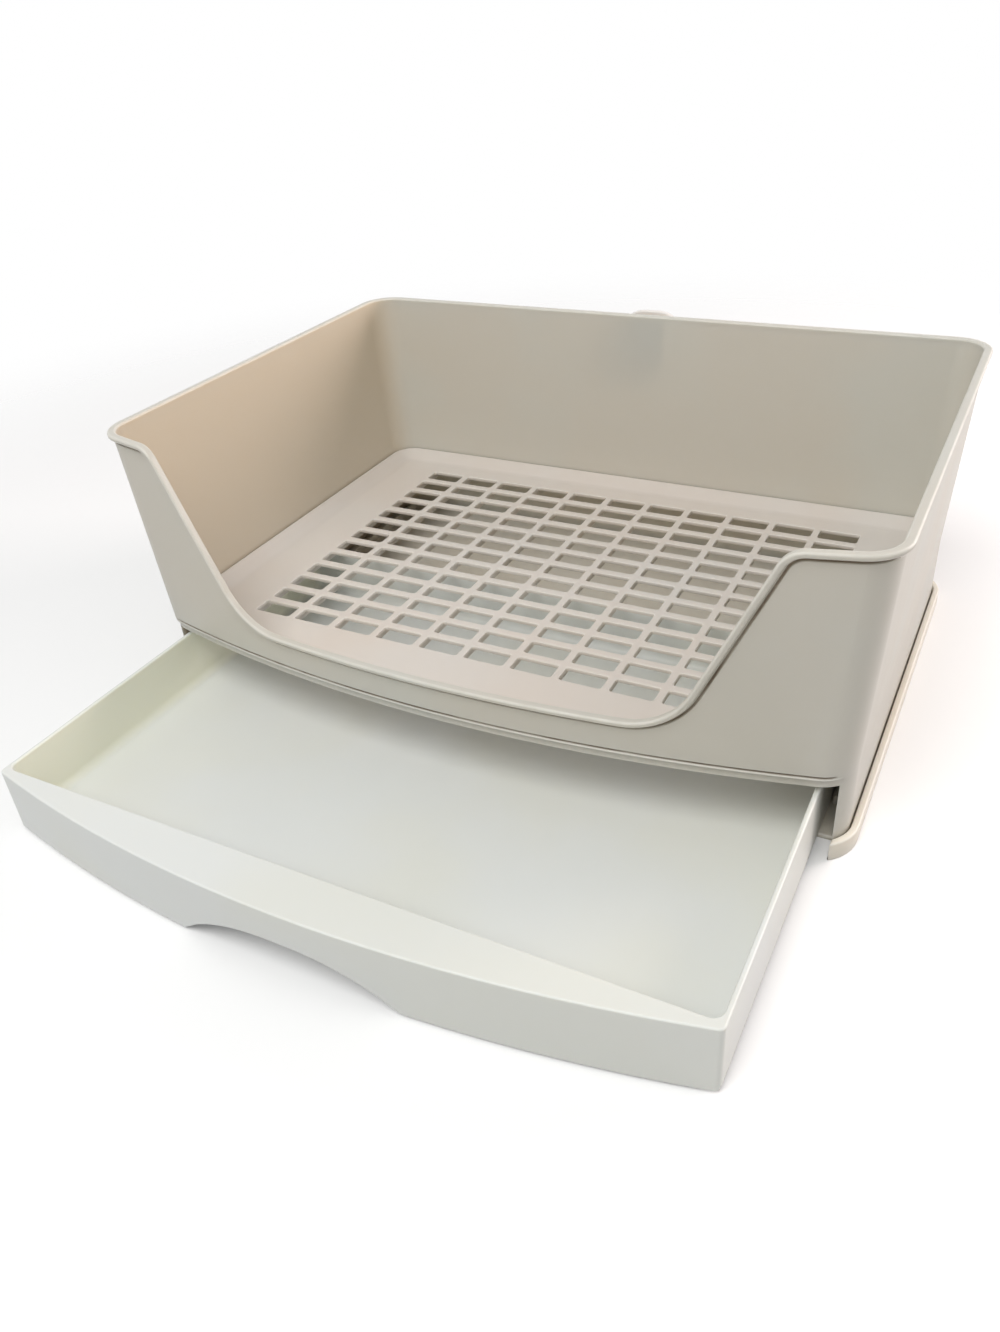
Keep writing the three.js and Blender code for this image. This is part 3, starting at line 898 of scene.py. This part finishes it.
# Floor, backdrop and soft light
print("stage: light")
lightSettings = {
    "worldStrength": 0.45,
    "floorSize": 3.0,
    "floorColour": 0.92,
    "floorRoughness": 0.9,
    "floorBounce": 0.45,  # how pale the floor is for the light that it throws back
    "floorLift": 0.08,
    "floorFadeFrom": 0.45,
    "floorFadeTo": 0.95,
    "topLamp": {"place": (0.0, -1.0, 1.6), "size": 1.2, "power": 20.0, "colour": (1.0, 1.0, 0.99)},
    "sideLamp": {"place": (1.25, 1.1, 0.6), "size": 0.9, "power": 19.0, "colour": (1.0, 0.88, 0.85)},
}


# One for the rays that should see a white background, nought for the rays that light the object
def addSeenDirectly(tree):
    path = addNode(tree, "ShaderNodeLightPath")
    seen = addMath(tree, "MAXIMUM", path.outputs["Is Camera Ray"], path.outputs["Is Glossy Ray"])
    return addMath(tree, "MAXIMUM", seen, path.outputs["Is Transmission Ray"])


def makeWorld(strength):
    world = bpy.data.worlds.new("studio")
    scene.world = world
    world.use_nodes = True
    tree = world.node_tree
    background = tree.nodes["Background"]
    background.inputs["Color"].default_value = (1, 1, 1, 1)
    level = addNode(tree, "ShaderNodeMix", data_type="FLOAT")
    feed(tree, level, {"Factor": addSeenDirectly(tree), "A": strength, "B": 1.0})
    tree.links.new(level.outputs["Result"], background.inputs["Strength"])


# Paper that takes the shadow near the object and gives way to the white backdrop further out
def makeFloor(settings):
    shape = bmesh.new()
    bmesh.ops.create_grid(shape, x_segments=1, y_segments=1, size=settings["floorSize"])
    mesh = bpy.data.meshes.new("floor")
    shape.to_mesh(mesh)
    shape.free()
    floor = bpy.data.objects.new("floor", mesh)
    scene.collection.objects.link(floor)
    material = bpy.data.materials.new("floorPaper")
    material.use_nodes = True
    tree = material.node_tree
    shader = tree.nodes["Principled BSDF"]
    seen = addSeenDirectly(tree)
    tones = [(settings[label],) * 3 + (1,) for label in ("floorBounce", "floorColour")]
    feed(tree, shader, {
        "Base Color": addMix(tree, seen, *tones),
        "Roughness": settings["floorRoughness"],
        "Emission Color": (1, 1, 1, 1),
        "Emission Strength": addMath(tree, "MULTIPLY", seen, settings["floorLift"]),
    })
    distance = addNode(tree, "ShaderNodeVectorMath", operation="LENGTH")
    feed(tree, distance, {"Vector": addPlace(tree)})
    fade = addRange(tree, distance.outputs["Value"], settings["floorFadeFrom"], settings["floorFadeTo"])
    clear = addNode(tree, "ShaderNodeBsdfTransparent")
    blend = addNode(tree, "ShaderNodeMixShader")
    share = addMath(tree, "MULTIPLY", fade, seen)
    feed(tree, blend, {0: share, 1: shader.outputs["BSDF"], 2: clear.outputs["BSDF"]})
    tree.links.new(blend.outputs["Shader"], tree.nodes["Material Output"].inputs["Surface"])
    mesh.materials.append(material)


def addLamp(name, settings):
    lamp = bpy.data.lights.new(name, "AREA")
    lamp.shape = "DISK"
    lamp.size = settings["size"]
    lamp.energy = settings["power"]
    lamp.color = settings["colour"]
    holder = bpy.data.objects.new(name, lamp)
    scene.collection.objects.link(holder)
    holder.location = settings["place"]
    holder.rotation_euler = (-Vector(settings["place"])).to_track_quat("-Z", "Y").to_euler()


makeWorld(lightSettings["worldStrength"])
makeFloor(lightSettings)
addLamp("topLamp", lightSettings["topLamp"])
addLamp("sideLamp", lightSettings["sideLamp"])
scene.view_settings.view_transform = "Standard"
